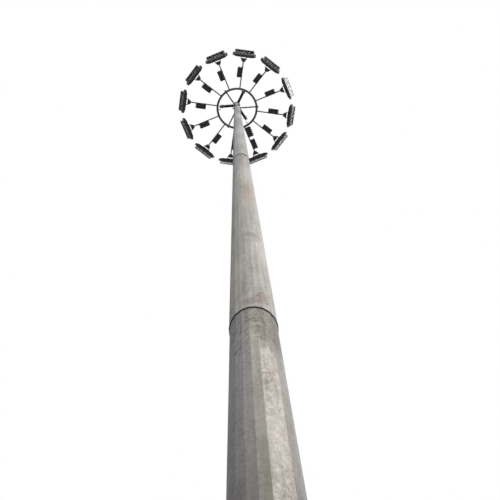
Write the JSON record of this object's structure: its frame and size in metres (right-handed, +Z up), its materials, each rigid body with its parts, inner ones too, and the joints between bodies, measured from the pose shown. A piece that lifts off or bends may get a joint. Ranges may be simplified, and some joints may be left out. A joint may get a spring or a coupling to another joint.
{
  "type": "high mast floodlight tower",
  "caption": "Tall many-sided tapered steel mast with slip joints, a head frame with rope pulleys and a winched lamp ring carrying tilting floodlights on radial arms.",
  "frame": {"origin": "centre of the underside of the base flange, on the mast's axis", "axes": "+Z up the mast; -Y towards the service door; the first lamp arm points 12 degrees from +X towards +Y"},
  "size_m": [3.2372, 3.2372, 30.181],
  "materials": {
    "shaft": "weathered hot-dip galvanised",
    "base": "weathered hot-dip galvanised",
    "door": "weathered hot-dip galvanised",
    "head": "dull dark galvanised",
    "sheave": "turned",
    "rope": "stranded wire",
    "ring": "dull dark galvanised",
    "arm": "dull dark galvanised",
    "bracket": "powder coated",
    "box": "powder coated die casting",
    "housing": "powder coated die casting",
    "glass": "toughened, clear"
  },
  "bodies": {
    "mast": {"base_flange": "base", "base_gussets": "base", "mast_section_lower": "shaft", "door_frame": "door", "door_panel": "door", "mast_section_middle": "shaft", "mast_section_upper": "shaft", "head_plate": "head", "pulley_arms": "head", "pulley_sheaves": "sheave", "mast_cap": "head", "docking_collar": "head", "docking_arms": "head", "hoist_ropes": "rope"},
    "carriage": {"ring_segment_1": "ring", "ring_segment_2": "ring", "ring_segment_3": "ring", "lamp_arms": "arm", "lamp_brackets": "bracket", "driver_boxes": "box", "junction_box": "box"},
    "lamp_1": {"floodlight_1": "housing", "floodlight_glass_1": "glass"},
    "lamp_2": {"floodlight_2": "housing", "floodlight_glass_2": "glass"},
    "lamp_3": {"floodlight_3": "housing", "floodlight_glass_3": "glass"},
    "lamp_4": {"floodlight_4": "housing", "floodlight_glass_4": "glass"},
    "lamp_5": {"floodlight_5": "housing", "floodlight_glass_5": "glass"},
    "lamp_6": {"floodlight_6": "housing", "floodlight_glass_6": "glass"},
    "lamp_7": {"floodlight_7": "housing", "floodlight_glass_7": "glass"},
    "lamp_8": {"floodlight_8": "housing", "floodlight_glass_8": "glass"},
    "lamp_9": {"floodlight_9": "housing", "floodlight_glass_9": "glass"},
    "lamp_10": {"floodlight_10": "housing", "floodlight_glass_10": "glass"},
    "lamp_11": {"floodlight_11": "housing", "floodlight_glass_11": "glass"},
    "lamp_12": {"floodlight_12": "housing", "floodlight_glass_12": "glass"}
  },
  "joints": [
    {"name": "ring_hoist", "type": "slide", "parent": "mast", "child": "carriage", "axis": [0, 0, 1], "range_m": [-28, 0], "deforming": ["hoist_ropes"]},
    {"name": "lamp_1_tilt", "type": "hinge", "parent": "carriage", "child": "lamp_1", "pos_m": [1.37919, 0.29315, 29.3], "axis": [-0.2079, 0.9781, 0], "range_deg": [-20, 35]},
    {"name": "lamp_2_tilt", "type": "hinge", "parent": "carriage", "child": "lamp_2", "pos_m": [1.04783, 0.94347, 29.3], "axis": [-0.6691, 0.7431, 0], "range_deg": [-20, 35]},
    {"name": "lamp_3_tilt", "type": "hinge", "parent": "carriage", "child": "lamp_3", "pos_m": [0.43571, 1.34099, 29.3], "axis": [-0.9511, 0.309, 0], "range_deg": [-20, 35]},
    {"name": "lamp_4_tilt", "type": "hinge", "parent": "carriage", "child": "lamp_4", "pos_m": [-0.29315, 1.37919, 29.3], "axis": [-0.9781, -0.2079, 0], "range_deg": [-20, 35]},
    {"name": "lamp_5_tilt", "type": "hinge", "parent": "carriage", "child": "lamp_5", "pos_m": [-0.94347, 1.04783, 29.3], "axis": [-0.7431, -0.6691, 0], "range_deg": [-20, 35]},
    {"name": "lamp_6_tilt", "type": "hinge", "parent": "carriage", "child": "lamp_6", "pos_m": [-1.34099, 0.43571, 29.3], "axis": [-0.309, -0.9511, 0], "range_deg": [-20, 35]},
    {"name": "lamp_7_tilt", "type": "hinge", "parent": "carriage", "child": "lamp_7", "pos_m": [-1.37919, -0.29315, 29.3], "axis": [0.2079, -0.9781, 0], "range_deg": [-20, 35]},
    {"name": "lamp_8_tilt", "type": "hinge", "parent": "carriage", "child": "lamp_8", "pos_m": [-1.04783, -0.94347, 29.3], "axis": [0.6691, -0.7431, 0], "range_deg": [-20, 35]},
    {"name": "lamp_9_tilt", "type": "hinge", "parent": "carriage", "child": "lamp_9", "pos_m": [-0.43571, -1.34099, 29.3], "axis": [0.9511, -0.309, 0], "range_deg": [-20, 35]},
    {"name": "lamp_10_tilt", "type": "hinge", "parent": "carriage", "child": "lamp_10", "pos_m": [0.29315, -1.37919, 29.3], "axis": [0.9781, 0.2079, 0], "range_deg": [-20, 35]},
    {"name": "lamp_11_tilt", "type": "hinge", "parent": "carriage", "child": "lamp_11", "pos_m": [0.94347, -1.04783, 29.3], "axis": [0.7431, 0.6691, 0], "range_deg": [-20, 35]},
    {"name": "lamp_12_tilt", "type": "hinge", "parent": "carriage", "child": "lamp_12", "pos_m": [1.34099, -0.43571, 29.3], "axis": [0.309, 0.9511, 0], "range_deg": [-20, 35]}
  ]
}
